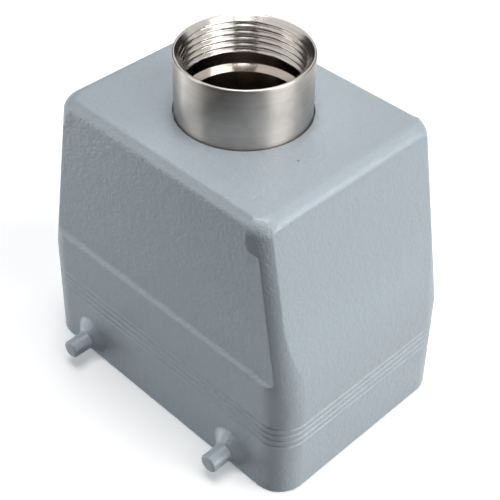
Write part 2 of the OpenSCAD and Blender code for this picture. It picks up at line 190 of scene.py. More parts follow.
def addNode(tree, kind, inputs=None, **values):
    # values are the node's own settings, inputs are its sockets by name or number
    node = tree.nodes.new(kind)
    for key, value in values.items():
        setattr(node, key, value)
    for key, value in (inputs or {}).items():
        feed(tree, node.inputs[key], value)
    return node


def noiseNode(tree, vector, scale, detail, rough):
    inputs = {"Vector": vector, "Detail": detail, "Roughness": rough, "Scale": scale}
    return addNode(tree, "ShaderNodeTexNoise", inputs, noise_dimensions="3D").outputs["Fac"]


def mathNode(tree, operation, a, b, c=None, clamp=False):
    inputs = {0: a, 1: b}
    if c is not None:
        inputs[2] = c
    node = addNode(tree, "ShaderNodeMath", inputs, operation=operation, use_clamp=clamp)
    return node.outputs[0]


def rampNode(tree, value, low, high, start=0.0, end=1.0):
    inputs = {"Value": value, "From Min": low, "From Max": high, "To Min": start, "To Max": end}
    return addNode(tree, "ShaderNodeMapRange", inputs, clamp=True).outputs["Result"]


def mixColor(tree, factor, a, b):
    node = addNode(tree, "ShaderNodeMix", data_type="RGBA")
    sockets = {s.identifier: s for s in node.inputs}
    for key, value in (("Factor_Float", factor), ("A_Color", a), ("B_Color", b)):
        feed(tree, sockets[key], value)
    return [s for s in node.outputs if s.identifier == "Result_Color"][0]


def buildPowderGroup():
    # baked paint on a casting: shallow waves, orange peel and a fine grain,
    # each with its own share of the height
    powder = {"waveScale": 420.0, "grainTone": 0.6, "peelTone": 0.4, "speckRange": (0.60, 0.72)}
    group, start, end = newGroup(
        "powderCoat",
        [("Vector", "NodeSocketVector", None), ("Peel Scale", "NodeSocketFloat", 1150.0),
         ("Grain Scale", "NodeSocketFloat", 2700.0), ("Grain Share", "NodeSocketFloat", 0.35),
         ("Wave Share", "NodeSocketFloat", 0.8)],
        [("Height", "NodeSocketFloat"), ("Tone", "NodeSocketFloat"),
         ("Speck", "NodeSocketFloat")])
    vector = start.outputs["Vector"]
    peel = noiseNode(group, vector, start.outputs["Peel Scale"], 2.0, 0.55)
    grain = noiseNode(group, vector, start.outputs["Grain Scale"], 2.0, 0.6)
    wave = noiseNode(group, vector, powder["waveScale"], 1.0, 0.5)
    height = mathNode(group, "MULTIPLY_ADD", grain, start.outputs["Grain Share"], peel)
    height = mathNode(group, "MULTIPLY_ADD", wave, start.outputs["Wave Share"], height)
    tone = mathNode(group, "MULTIPLY", peel, powder["peelTone"])
    tone = mathNode(group, "MULTIPLY_ADD", grain, powder["grainTone"], tone)
    group.links.new(height, end.inputs["Height"])
    group.links.new(tone, end.inputs["Tone"])
    group.links.new(rampNode(group, grain, *powder["speckRange"]), end.inputs["Speck"])
    return group


def buildTurningGroup():
    # fine rings left by turning: noise squeezed round the axis, at two sizes,
    # with a slow stain over it
    turning = {"squeeze": 0.012, "lean": 0.7, "bandScale": 1500.0,
               "bandHeight": 0.8, "bandTone": 0.5, "lineTone": 0.5}
    group, start, end = newGroup(
        "turningLines",
        [("Vector", "NodeSocketVector", None), ("Line Scale", "NodeSocketFloat", 5200.0),
         ("Stain Scale", "NodeSocketFloat", 260.0)],
        [("Height", "NodeSocketFloat"), ("Tone", "NodeSocketFloat"),
         ("Stain", "NodeSocketFloat"), ("Radius", "NodeSocketFloat")])
    vector = start.outputs["Vector"]
    x, y, z = addNode(group, "ShaderNodeSeparateXYZ", {"Vector": vector}).outputs
    square = mathNode(group, "MULTIPLY_ADD", x, x, mathNode(group, "MULTIPLY", y, y))
    radius = addNode(group, "ShaderNodeMath", {0: square}, operation="SQRT").outputs[0]
    squeezed = addNode(group, "ShaderNodeCombineXYZ", {
        "X": mathNode(group, "MULTIPLY", x, turning["squeeze"]),
        "Y": mathNode(group, "MULTIPLY", y, turning["squeeze"]),
        "Z": mathNode(group, "MULTIPLY_ADD", radius, turning["lean"], z)}).outputs[0]
    lines = noiseNode(group, squeezed, start.outputs["Line Scale"], 3.0, 0.7)
    bands = noiseNode(group, squeezed, turning["bandScale"], 2.0, 0.5)
    stain = noiseNode(group, vector, start.outputs["Stain Scale"], 2.0, 0.5)
    height = mathNode(group, "MULTIPLY_ADD", bands, turning["bandHeight"], lines)
    tone = mathNode(group, "MULTIPLY", bands, turning["bandTone"])
    tone = mathNode(group, "MULTIPLY_ADD", lines, turning["lineTone"], tone)
    for label, value in (("Height", height), ("Tone", tone), ("Stain", stain), ("Radius", radius)):
        group.links.new(value, end.inputs[label])
    return group


powderGroup = buildPowderGroup()
turningGroup = buildTurningGroup()
print("shader groups built")


def newMaterial(name):
    material = bpy.data.materials.new(name)
    material.use_nodes = True
    tree = material.node_tree
    shader = tree.nodes["Principled BSDF"]
    coords = tree.nodes.new("ShaderNodeTexCoord")
    return material, tree, shader, coords.outputs["Object"]


def bumpInto(tree, shader, height, look):
    bump = addNode(tree, "ShaderNodeBump", {
        "Height": height, "Strength": look["bump"], "Distance": look["depth"]})
    tree.links.new(bump.outputs["Normal"], shader.inputs["Normal"])


paintLook = {
    "color": (0.397, 0.452, 0.497, 1), "low": (0.373, 0.428, 0.472, 1), "toneRange": (0.38, 0.62),
    "speck": (0.50, 0.54, 0.58, 1), "speckShare": 0.30,
    "peelScale": 1150.0, "grainScale": 2700.0, "grainShare": 0.35, "waveShare": 0.8,
    "roughHigh": 0.36, "roughLow": 0.26, "roughRange": (0.35, 0.65),
    "bump": 1.0, "depth": 0.00012,
    "mark": (0.0213, -0.00525, 0.075), "markTone": (0.10, 0.10, 0.10, 1),
    "markRange": (0.00016, 0.00040), "markShare": 0.8,
}


def buildPaint(look):
    material, tree, shader, place = newMaterial("castPaint")
    powder = addNode(tree, "ShaderNodeGroup", {
        "Vector": place, "Peel Scale": look["peelScale"], "Grain Scale": look["grainScale"],
        "Grain Share": look["grainShare"], "Wave Share": look["waveShare"]}, node_tree=powderGroup)
    tone = powder.outputs["Tone"]
    base = mixColor(tree, rampNode(tree, tone, *look["toneRange"]), look["low"], look["color"])
    speck = mathNode(tree, "MULTIPLY", powder.outputs["Speck"], look["speckShare"])
    base = mixColor(tree, speck, base, look["speck"])
    # one small dark mark on the roof
    away = addNode(tree, "ShaderNodeVectorMath", {0: place, 1: look["mark"]}, operation="DISTANCE")
    mark = rampNode(tree, away.outputs["Value"], *look["markRange"], look["markShare"], 0.0)
    rough = rampNode(tree, tone, *look["roughRange"], look["roughHigh"], look["roughLow"])
    tree.links.new(mixColor(tree, mark, base, look["markTone"]), shader.inputs["Base Color"])
    tree.links.new(rough, shader.inputs["Roughness"])
    bumpInto(tree, shader, powder.outputs["Height"], look)
    return material


def paintRecessShade(tree, base, radius, place, look):
    # painted shade inside the bush: the relief groove under the thread and the passage are painted
    # dark, and the cone between them is painted darker and browner
    height = addNode(tree, "ShaderNodeSeparateXYZ", {"Vector": place}).outputs["Z"]
    inner = rampNode(tree, radius, *look["insideRadius"], 1.0, 0.0)
    belowStep = rampNode(tree, height, *look["coneHeight"], look["coneShadeShare"], 0.0)
    belowThread = rampNode(tree, height, *look["grooveHeight"], 1.0, 0.0)
    passage = rampNode(tree, radius, *look["passageRadius"], 1.0, 0.0)
    base = mixColor(tree, mathNode(tree, "MULTIPLY", inner, belowStep), base, look["cone"])
    groove = mathNode(tree, "MULTIPLY", rampNode(tree, radius, *look["grooveRadius"]), inner)
    groove = mathNode(tree, "MULTIPLY", groove, belowThread)
    shadeMask = mathNode(tree, "ADD", groove, passage, clamp=True)
    shadeMask = mathNode(tree, "MULTIPLY", shadeMask, look["recessShare"])
    return mixColor(tree, shadeMask, base, look["recess"])


def buildPlate(name, look):
    material, tree, shader, place = newMaterial(name)
    turning = addNode(tree, "ShaderNodeGroup", {
        "Vector": place, "Line Scale": look["lineScale"], "Stain Scale": look["stainScale"]},
        node_tree=turningGroup)
    tone, radius = turning.outputs["Tone"], turning.outputs["Radius"]
    base = mixColor(tree, rampNode(tree, tone, *look["toneRange"]), look["low"], look["color"])
    stain = rampNode(tree, turning.outputs["Stain"], *look["stainRange"], 0.0, look["stainShare"])
    base = mixColor(tree, stain, base, look["stain"])
    # painted shade in the hollows inside the bush, for looks that have it
    if "recess" in look:
        base = paintRecessShade(tree, base, radius, place, look)
    rough = rampNode(tree, tone, *look["roughRange"], look["roughHigh"], look["roughLow"])
    # the inside is smoother than the outside
    edge, soft = look["boreRadius"], look["boreSoft"]
    outside = rampNode(tree, radius, edge - soft, edge + soft, look["boreShare"], 1.0)
    tree.links.new(base, shader.inputs["Base Color"])
    tree.links.new(mathNode(tree, "MULTIPLY", rough, outside), shader.inputs["Roughness"])
    shader.inputs["Metallic"].default_value = 1.0
    shader.inputs["Anisotropic"].default_value = look["grooved"]
    shader.inputs["Anisotropic Rotation"].default_value = look["grainTurn"]
    bumpInto(tree, shader, turning.outputs["Height"], look)
    return material


def buildGrained(name, look):
    # a fine grain in the gloss over slow clouds in the colour
    material, tree, shader, place = newMaterial(name)
    grain = noiseNode(tree, place, look["grain"], 3.0, 0.6)
    cloud = noiseNode(tree, place, look["cloud"], 2.0, 0.5)
    base = mixColor(tree, rampNode(tree, cloud, *look["cloudRange"]), look["low"], look["color"])
    rough = rampNode(tree, grain, *look["roughRange"], look["roughHigh"], look["roughLow"])
    tree.links.new(base, shader.inputs["Base Color"])
    tree.links.new(rough, shader.inputs["Roughness"])
    shader.inputs["Metallic"].default_value = look["metal"]
    bumpInto(tree, shader, grain, look)
    return material


turnedFinish = {"toneRange": (0.32, 0.68), "stainRange": (0.45, 0.75), "roughRange": (0.3, 0.7),
                "boreSoft": 0.0001, "grainTurn": 0.25}
platedBrassLook = turnedFinish | {
    "color": (0.600, 0.570, 0.540, 1), "low": (0.500, 0.465, 0.430, 1),
    "stain": (0.34, 0.27, 0.22, 1), "stainShare": 0.30, "stainScale": 260.0,
    "lineScale": 5200.0, "bump": 0.5, "depth": 0.00001,
    "roughLow": 0.28, "roughHigh": 0.38, "grooved": 0.85, "boreRadius": 0.0151, "boreShare": 0.55,
    # painted shade inside the bush: a dark colour for the relief groove and the passage, a darker
    # brown for the cone
    "recess": (0.16, 0.13, 0.11, 1), "recessShare": 0.85,
    "cone": (0.44, 0.37, 0.32, 1), "coneShadeShare": 0.75,
    # where each painted shade inside the bush starts and ends, in metres
    "insideRadius": (0.0148, 0.0150), "coneHeight": (0.0774, 0.0776),
    "grooveRadius": (0.01428, 0.01434), "grooveHeight": (0.0804, 0.0805),
    "passageRadius": (0.01297, 0.01300),
}
nutPlateLook = turnedFinish | {
    "color": (0.60, 0.58, 0.55, 1), "low": (0.48, 0.46, 0.43, 1),
    "stain": (0.36, 0.30, 0.25, 1), "stainShare": 0.20, "stainScale": 300.0,
    "lineScale": 3200.0, "bump": 0.4, "depth": 0.00001,
    "roughLow": 0.26, "roughHigh": 0.38, "grooved": 0.5, "boreRadius": 0.0142, "boreShare": 0.8,
}
metalGrain = {"metal": 1.0, "grain": 3200.0, "cloud": 420.0, "cloudRange": (0.35, 0.65),
              "roughRange": (0.3, 0.7), "bump": 0.25, "depth": 0.00004}
mouldedGrain = {"metal": 0.0, "cloud": 130.0, "cloudRange": (0.3, 0.7),
                "roughRange": (0.3, 0.7), "bump": 0.3, "depth": 0.00006}

castPaint = buildPaint(paintLook)
platedBrass = buildPlate("platedBrass", platedBrassLook)
nutPlate = buildPlate("nutPlate", nutPlateLook)
zincSteel = buildGrained("zincSteel", metalGrain | {
    "color": (0.62, 0.63, 0.64, 1), "low": (0.50, 0.51, 0.52, 1),
    "roughHigh": 0.40, "roughLow": 0.25})
silverPlate = buildGrained("silverPlate", metalGrain | {
    "color": (0.82, 0.80, 0.75, 1), "low": (0.70, 0.68, 0.62, 1),
    "roughHigh": 0.34, "roughLow": 0.19})
earthBrass = buildGrained("earthBrass", metalGrain | {
    "color": (0.72, 0.58, 0.31, 1), "low": (0.58, 0.45, 0.23, 1),
    "roughHigh": 0.38, "roughLow": 0.23})
insertPlastic = buildGrained("insertPlastic", mouldedGrain | {
    "color": (0.36, 0.37, 0.36, 1), "low": (0.31, 0.32, 0.31, 1),
    "grain": 1500.0, "roughHigh": 0.56, "roughLow": 0.42})
sealRubber = buildGrained("sealRubber", mouldedGrain | {
    "color": (0.025, 0.025, 0.026, 1), "low": (0.016, 0.016, 0.017, 1),
    "grain": 900.0, "roughHigh": 0.70, "roughLow": 0.56})
print("materials built")


hoodForm = {
    "length": 83.0, "width": 56.7, "height": 75.0, "rimCorner": 7.1, "topCorner": 6.5,
    "kneeHeight": 28.9, "kneeBlend": 1.3, "kneeLength": 82.687, "kneeWidth": 55.439,
    "topLength": 65.365, "topWidth": 54.184, "topEdge": 3.0,
    "rimRound": ((0.4, 0.0), (0.15, 0.07), (0.03, 0.22)),  # inset and height
    # where an outline has its points on the end face and on the long side
    "endStops": (0, 0.35, 0.7), "flatStops": (0, 0.15, 0.6),
    "sunkStops": (0.14, 0.32, 0.6, 1.0, 1.6),
    "grooves": (16.0, 17.85, 19.7, 21.55), "grooveWidth": 0.85, "grooveDepth": 0.30,
    # the sunk panel, whose ledge and cut corner are given as steps of height and depth
    "ledge": 34.3, "ledgeSlope": 0.7, "panelDepth": 0.9, "panelEnd": 5.1,
    "creaseAngles": ((1.9, 68), (1.3, 76), (0.85, 83)),
    "ledgeSteps": ((-0.6, 0.012), (-0.3, 0.06), (-0.05, 0.18), (0.35, 0.5), (0.75, 0.82),
                   (1.0, 0.94), (1.3, 0.988)),
    "ledgeTop": 1.7, "cutDrop": 8.1, "cutRise": 2.6,
    "cutSteps": ((0.1, 1.25), (0.24, 0.9), (0.42, 0.36), (0.62, 0.19), (0.8, 0.08), (1.0, 0.0)),
    "stepSlopes": (0.25, 1.7),  # width of the panel's upright step at the near and far end
    # the ridge between an end face and the round corner beside it
    "endDepth": 0.87, "ridgeSoft": 2.0, "ridgeRound": 0.02, "ridgeFoot": 34.0, "ridgeFull": 50.0,
    # the roof and the inside
    "holeRadius": 15.6, "seatDepth": 1.8, "neckHole": 14.15, "bossRadius": 19.45, "bossFace": 70.7,
    "wall": 3.2, "ceiling": 71.6,
}


def held(value, low=0.0, high=1.0):
    return max(low, min(high, value))


def bent(z, rim, knee, top):
    # straight up to the knee and straight above it, with a soft bend between
    form = hoodForm
    s1 = (knee - rim) / form["kneeHeight"]
    s2 = (top - knee) / (form["height"] - form["kneeHeight"])
    t = z - form["kneeHeight"]
    b = form["kneeBlend"]
    if t <= -b:
        return knee + s1 * t
    if t >= b:
        return knee + s2 * t
    return knee + s1 * t + (s2 - s1) * (t + b) ** 2 / (4 * b)


def halfLength(z):
    return bent(z, hoodForm["length"], hoodForm["kneeLength"], hoodForm["topLength"]) / 2


def halfWidth(z):
    return bent(z, hoodForm["width"], hoodForm["kneeWidth"], hoodForm["topWidth"]) / 2


def cornerRadius(z):
    f = hoodForm
    return f["rimCorner"] + (f["topCorner"] - f["rimCorner"]) * z / f["height"]


def endSink(z):
    # above the knee the end face lies a little deeper than the round corner,
    # which leaves a ridge between them
    f = hoodForm
    share = held((z - f["ridgeFoot"]) / (f["ridgeFull"] - f["ridgeFoot"]))
    return f["endDepth"] * share * share * (3 - 2 * share)


def quarterOutline(z, inset, sunk, side, slope, height, lastAngle, ridged):
    # from the middle of the end face to the middle of the long side
    f = hoodForm
    r = max(cornerRadius(z) - inset, 0.4)
    sink = endSink(z) if ridged else 0.0
    # the ridge runs out into a plain round corner over the rounded top edge
    plain = held((height - f["height"] + f["topEdge"]) / f["topEdge"] * 1.25)
    end = halfLength(z) - inset - sink
    hw = halfWidth(z) - inset
    cx, cy = end + sink * (1 - plain) - r, hw - r
    # the long side is flat from edge on, and the round corner stops at bend
    flat = hw
    edge = cx - 0.5
    turn = math.radians(90)
    bend = math.radians(lastAngle)
    if sunk > 0:
        flat = hw - sunk
        natural = math.asin(held((flat - cy) / r))
        bend = turn = natural
        edge = cx + r * math.cos(natural)
        if side is not None and side < edge:
            edge = side
            turn = max(natural + 0.01, math.acos(held((side + slope - cx) / r)))
    start = math.acos(held((end - cx) / r, -1.0))
    soft = math.radians(f["ridgeSoft"])
    points = [(end, cy * share) for share in f["endStops"]]
    points += [(end, cy - 0.6), (end, cy + max(0.0, r * math.sin(start) - 0.35))]
    points.append((end - f["ridgeRound"] * (start > 0.1), cy + r * math.sin(start + soft * 0.15)))
    arc = [start + soft + (bend - start - soft) * k / 7 for k in range(8)]
    # where the panel reaches the corner, its edge gets two points less and its flat two more
    reaches = sunk > 0 and turn == bend
    if not reaches:
        arc += [bend + (turn - bend) * k / 2 for k in (1, 2)]
    points += [(cx + r * math.cos(a), cy + r * math.sin(a)) for a in arc]
    points += [(edge - s, flat) for s in (f["sunkStops"] if reaches else f["flatStops"])]
    last = points[-1][0]
    return points + [(last * (6 - k) / 6, flat) for k in range(1, 7)]


def hoodOutline(z, inset=0.0, sunk=0.0, side=None, realZ=None, lastAngle=65.0, ridged=True):
    # sunk is how deep the panel lies, side where its upright edge stands if it is cut off early,
    # realZ the height of the points where it isn't that of the outline's shape
    height = z if realZ is None else realZ
    right, left = [quarterOutline(z, inset, sunk, side, slope, height, lastAngle, ridged)
                   for slope in hoodForm["stepSlopes"]]
    n = len(right) - 1
    full = right[:]
    full += [(-x, y) for x, y in reversed(left[:n])]
    full += [(-x, -y) for x, y in left[1:]]
    full += [(x, -y) for x, y in reversed(right[1:n])]
    return [(x, y, height) for x, y in full]


def skirtRings():
    f = hoodForm
    rings = [hoodOutline(0, inset, realZ=z) for inset, z in f["rimRound"]]
    rings += [hoodOutline(z) for z in (0.45, 1.0, 8.0)]
    # each fine groove has rounded lips and a rounded floor
    w, d = f["grooveWidth"] / 2, f["grooveDepth"]
    groove = ((-w - 0.2, 0), (-w - 0.03, 0.02), (-w * 0.62, d * 0.6), (-w * 0.25, d * 0.95),
              (w * 0.25, d * 0.95), (w * 0.62, d * 0.6), (w + 0.03, 0.02), (w + 0.2, 0))
    for z in f["grooves"]:
        rings += [hoodOutline(z + up, cut) for up, cut in groove]
    rings.append(hoodOutline(f["kneeHeight"] - 3.0))
    rings += [hoodOutline(f["kneeHeight"] + k * f["kneeBlend"] / 2.4) for k in range(-3, 4)]
    return rings


def panelRings():
    f = hoodForm
    deep, rise, edge = f["panelDepth"], f["cutRise"], f["topEdge"]
    foot = f["ledge"] - f["ledgeSlope"]
    low = foot + f["ledgeTop"]
    cutZ, edgeZ = f["height"] - f["cutDrop"], f["height"] - edge
    topX = f["topLength"] / 2 - f["panelEnd"]
    # the round corner opens up towards the crease before the panel sinks
    rings = [hoodOutline(foot - down, lastAngle=angle) for down, angle in f["creaseAngles"]]
    rings += [hoodOutline(foot + up, 0, deep * share) for up, share in f["ledgeSteps"]]
    rings += [hoodOutline(low + (cutZ - low) * k / 7, 0, deep) for k in range(8)]
    # the cut-off upper corners of the panel
    rings += [hoodOutline(cutZ + up * rise, 0, deep, topX + out * rise)
              for up, out in f["cutSteps"]]
    rings += [hoodOutline(cutZ + rise + (edgeZ - cutZ - rise) * k / 3, 0, deep, topX)
              for k in (1, 2)]
    # the step beside the panel runs out over the rounded top edge
    for k in range(11):
        a = math.radians(9 * k)
        share = min(1.0, (10 - k) / 5)
        rings.append(hoodOutline(edgeZ, edge * (1 - math.cos(a)), deep * share, topX,
                                 realZ=edgeZ + edge * math.sin(a)))
    rings.append(hoodOutline(edgeZ, edge + 0.35, realZ=f["height"]))
    return rings


def roofRings(count):
    # the roof, the seat of the bush and the boss under the roof
    f = hoodForm
    top, hole, neck = f["height"], f["holeRadius"], f["neckHole"]
    seat, boss, face = top - f["seatDepth"], f["bossRadius"], f["bossFace"]
    profile = ((hole + 2.0, top), (hole + 0.3, top), (hole + 0.08, top - 0.08), (hole, top - 0.25),
               (hole, seat), (neck, seat), (neck, face), (boss - 0.3, face), (boss, face + 0.2),
               (boss + 0.2, f["ceiling"]))
    return [circlePoints(radius, z, count) for radius, z in profile]


def cavityRings():
    f = hoodForm
    under, wall = f["ceiling"], f["wall"]
    rings = [hoodOutline(under, wall + extra, realZ=under - down, ridged=False)
             for extra, down in ((1.4, 0.0), (0.5, 0.3), (0.0, 1.2))]
    rings += [hoodOutline(z, wall, ridged=False)
              for z in (58.0, 44.0, f["kneeHeight"], 14.0, 1.0, 0.4)]
    rings += [hoodOutline(0, wall - widen, realZ=z, ridged=False)
              for widen, z in ((0.1, 0.12), (0.4, 0.0))]
    return rings


def buildHoodWall():
    rings = skirtRings() + panelRings()
    rings += roofRings(len(rings[0])) + cavityRings()
    piece = startRing("hoodShell", rings[0])
    for points in rings[1:]:
        nextRing(piece, points)
    closeTube(piece)
    fixNormals(piece)
    return piece


# face is half the hood's width at the pegs' height
pegForm = {"radius": 2.35, "reach": 7.4, "round": 0.6, "baseRadius": 5.0, "coneTop": 2.85,
           "coneHeight": 1.8, "x": 25.2, "z": 5.7, "face": 28.2256, "steps": 48}


def buildPegs():
    peg = pegForm
    base, cone, high, r = peg["baseRadius"], peg["coneTop"], peg["coneHeight"], peg["radius"]
    profile = [(base + 0.4, -1.2), (base + 0.4, -0.04), (base + 0.1, 0.05), (base - 0.25, 0.24),
               (cone + 0.45, high - 0.35), (cone + 0.12, high - 0.08), (cone - 0.12, high + 0.04),
               (r + 0.2, high + 0.1), (r, high + 0.35)]
    for k in range(7):
        a = math.radians(90 * k / 6)
        profile.append((r - peg["round"] * (1 - math.cos(a)),
                        peg["reach"] - peg["round"] + peg["round"] * math.sin(a)))
    pegs = []
    for side in (-1, 1):
        for x in (-peg["x"], peg["x"]):
            piece = lathe("peg", profile, peg["steps"])
            piece.rotation_euler = (math.radians(-90 * side), 0, 0)
            piece.location = (x * mm, side * peg["face"] * mm, peg["z"] * mm)
            settle(piece)
            pegs.append(piece)
    return pegs


# corner is the round of the upright edges that stand farther out than cornerFrom,
# tip the radius and height of a drilled hole's end
postForm = {"inner": 29.3, "outX": 38.9, "outY": 25.9, "width": 7.4, "foot": 8.0, "top": 34.0,
            "side": 20.0, "middle": 4.0, "corner": 6.0, "cornerFrom": (33.0, 22.0), "edge": 0.35,
            "hole": 2.0, "holeTop": 19.0, "tip": (0.2, 1.1), "screwX": 33.0}


def bevelEdges(piece, chosen, size, segments):
    # bevels the edges whose two ends pass the test chosen
    bpy.ops.mesh.select_all(action="DESELECT")
    bm = bmesh.from_edit_mesh(piece.data)
    for e in bm.edges:
        e.select = chosen(e.verts[0].co, e.verts[1].co)
    bmesh.update_edit_mesh(piece.data)
    bpy.ops.mesh.bevel(offset=size * mm, segments=segments, affect="EDGES")


def isOuterCorner(a, b):
    farX, farY = postForm["cornerFrom"]
    upright = abs(a.x - b.x) < 1e-6 and abs(a.y - b.y) < 1e-6
    return upright and abs(a.x) > farX * mm and abs(a.y) > farY * mm


def isInnerEdge(a, b):
    inner = postForm["inner"] * mm
    return abs(abs(a.x) - inner) < 1e-5 and abs(abs(b.x) - inner) < 1e-5


def buildPost(side, y0, y1):
    post = postForm
    inner, out, foot, top = post["inner"], post["outX"], post["foot"], post["top"]
    clearSelection()
    bpy.ops.mesh.primitive_cube_add(size=1, location=(
        side * (inner + out) / 2 * mm, (y0 + y1) / 2 * mm, (foot + top) / 2 * mm))
    piece = bpy.context.object
    piece.dimensions = ((out - inner) * mm, (y1 - y0) * mm, (top - foot) * mm)
    settle(piece)
    editMode(piece)
    bpy.ops.mesh.select_mode(type="EDGE")
    if abs(y0 + y1) > post["side"]:
        bevelEdges(piece, isOuterCorner, post["corner"], 6)
    bevelEdges(piece, isInnerEdge, post["edge"], 2)
    bpy.ops.mesh.select_mode(type="VERT")
    bpy.ops.object.mode_set(mode="OBJECT")
    return piece


def buildPosts():
    # posts at the corners and between the two inserts, with a blind hole for each fixing screw
    post = postForm
    half, middle, side = post["width"] / 2, post["middle"], post["side"]
    spans = ((-middle - half, middle + half), (side - half, post["outY"]),
             (-post["outY"], -side + half))
    posts = [buildPost(end, y0, y1) for end in (-1, 1) for y0, y1 in spans]
    tipRadius, tipHeight = post["tip"]
    holes = []
    for end in (-1, 1):
        for y in (-side, -middle, middle, side):
            holes.append(lathe("hole", [
                (post["hole"], post["foot"] - 1.0), (post["hole"], post["holeTop"]),
                (tipRadius, post["holeTop"] + tipHeight)], 24))
            holes[-1].location = (end * post["screwX"] * mm, y * mm, 0)
            settle(holes[-1])
    cutter = joinPieces(holes[0], holes[1:])
    for piece in posts:
        applyModifier(piece, "BOOLEAN", operation="DIFFERENCE", object=cutter, solver="EXACT")
    bpy.data.objects.remove(cutter)
    return posts


def buildHood():
    shell = buildHoodWall()
    joinPieces(shell, buildPegs() + buildPosts())
    smoothPiece(shell, 44)
    shell.data.materials.clear()
    shell.data.materials.append(castPaint)
    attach(shell, "root")
    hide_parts("hood")
    return shell


hoodShell = buildHood()
print("hood built:", len(hoodShell.data.polygons), "faces")


bushForm = {
    "radius": 15.3, "mouth": 89.7, "mouthRadius": 14.8, "mouthDepth": 1.2,
    "shoulder": 73.8, "neck": 13.85, "neckEnd": 62.5,
    "thread": 14.15, "minor": 13.388, "pitch": 1.59, "threadEnd": 80.5,
    "flank": 1.2415, "threadSoft": 0.12,  # slope of the turns, and how round crest and root are
    "undercut": 14.4, "step": 77.35, "coneEnd": 12.95, "coneDrop": 1.2, "edge": 0.2,
    "boreDepth": 9.0, "passageDepth": 10.4, "passage": 11.65, "rings": 84, "steps": 144,
}


def threadRadius(angle, z):
    # conduit thread of eighty degrees, rounded at crest and root
    f = bushForm
    t = (z / f["pitch"] - angle / (2 * math.pi)) % 1.0
    t = abs(t - 0.5) * 2
    rise = (t - 0.5) * f["flank"] + 0.5
    soft = f["threadSoft"]
    if rise < soft:
        rise = (rise + soft) ** 2 / (4 * soft)
    elif rise > 1 - soft:
        rise = 1 - (1 + soft - rise) ** 2 / (4 * soft)
    return f["minor"] + (f["thread"] - f["minor"]) * rise


def boreRing(z):
    # the turns, cut back where the mouth is countersunk
    f = bushForm
    depth = f["mouth"] - z
    sink = f["mouthRadius"] - depth / f["mouthDepth"] * (f["mouthRadius"] - f["minor"])
    points = []
    for i in range(f["steps"]):
        angle = 2 * math.pi * i / f["steps"]
        radius = max(threadRadius(angle, z), sink)
        points.append((radius * math.cos(angle), radius * math.sin(angle), z))
    return points


def bushOutside():
    f = bushForm
    r, top, neck, shoulder = f["radius"], f["mouth"], f["neck"], f["shoulder"]
    end, hole, mouth = f["neckEnd"], f["passage"], f["mouthRadius"]
    return [(hole, end + 0.3), (hole + 0.3, end), (neck - 0.4, end), (neck, end + 0.4),
            (neck, shoulder - 0.02), (neck + 0.05, shoulder), (r - 0.15, shoulder),
            (r, shoulder + 0.15), (r, shoulder + 1.0), (r, top - 1.0), (r, top - 0.26),
            (r - 0.05, top - 0.1), (r - 0.14, top - 0.02), (r - 0.2, top),
            (mouth + 0.08, top), (mouth + 0.02, top - 0.02)]


def bushInside():
    # the relief groove, the cone under it and the passage
    f = bushForm
    groove, under, low = f["undercut"], f["threadEnd"], f["step"]
    cone, drop, edge = f["coneEnd"], f["coneDrop"], f["edge"]
    return [(groove - 0.1, under - 0.02), (groove, under - 0.12), (groove, low + 0.2),
            (groove - 0.06, low + 0.06), (groove - 0.2, low - 0.02), (cone + 0.1, low - drop),
            (cone + 0.02, low - drop - 0.09), (cone, low - drop - 0.25),
            (cone, low - drop - edge - f["boreDepth"]),
            (f["passage"], low - drop - edge - f["passageDepth"])]


def buildBush():
    f = bushForm
    n = f["steps"]
    outside = bushOutside()
    piece = startRing("entryBush", circlePoints(*outside[0], n))
    for radius, z in outside[1:]:
        nextRing(piece, circlePoints(radius, z, n))
    start = f["mouth"] - 0.05
    for k in range(f["rings"] + 1):
        nextRing(piece, boreRing(start - (start - f["threadEnd"]) * k / f["rings"]))
    for radius, z in bushInside():
        nextRing(piece, circlePoints(radius, z, n))
    closeTube(piece)
    fixNormals(piece)
    smoothPiece(piece, 40)
    piece.data.materials.clear()
    piece.data.materials.append(platedBrass)
    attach(piece, "root")
    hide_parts("entry_bush")
    return piece


entryBush = buildBush()
print("entry bush built:", len(entryBush.data.polygons), "faces")


nodeFinish = {
    "entry_gasket": sealRubber, "entry_washer": zincSteel, "entry_lock_nut": nutPlate,
    "insert_a": insertPlastic, "insert_b": insertPlastic,
    "contacts_a": silverPlate, "contacts_b": silverPlate,
    "terminal_screws_a": zincSteel, "terminal_screws_b": zincSteel,
    "wire_guards_a": zincSteel, "wire_guards_b": zincSteel,
    "earth_terminal_a_left": earthBrass, "earth_terminal_a_right": earthBrass,
    "earth_terminal_b_left": earthBrass, "earth_terminal_b_right": earthBrass,
    "earth_clamp_plates": zincSteel, "earth_screws": zincSteel,
    "fixing_screws": zincSteel, "spring_washers": zincSteel,
    "hood": castPaint, "entry_bush": platedBrass,
}

for name, material in nodeFinish.items():
    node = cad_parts[name]
    node.data.materials.clear()
    node.data.materials.append(material)
print("finishes set on", len(nodeFinish), "nodes")


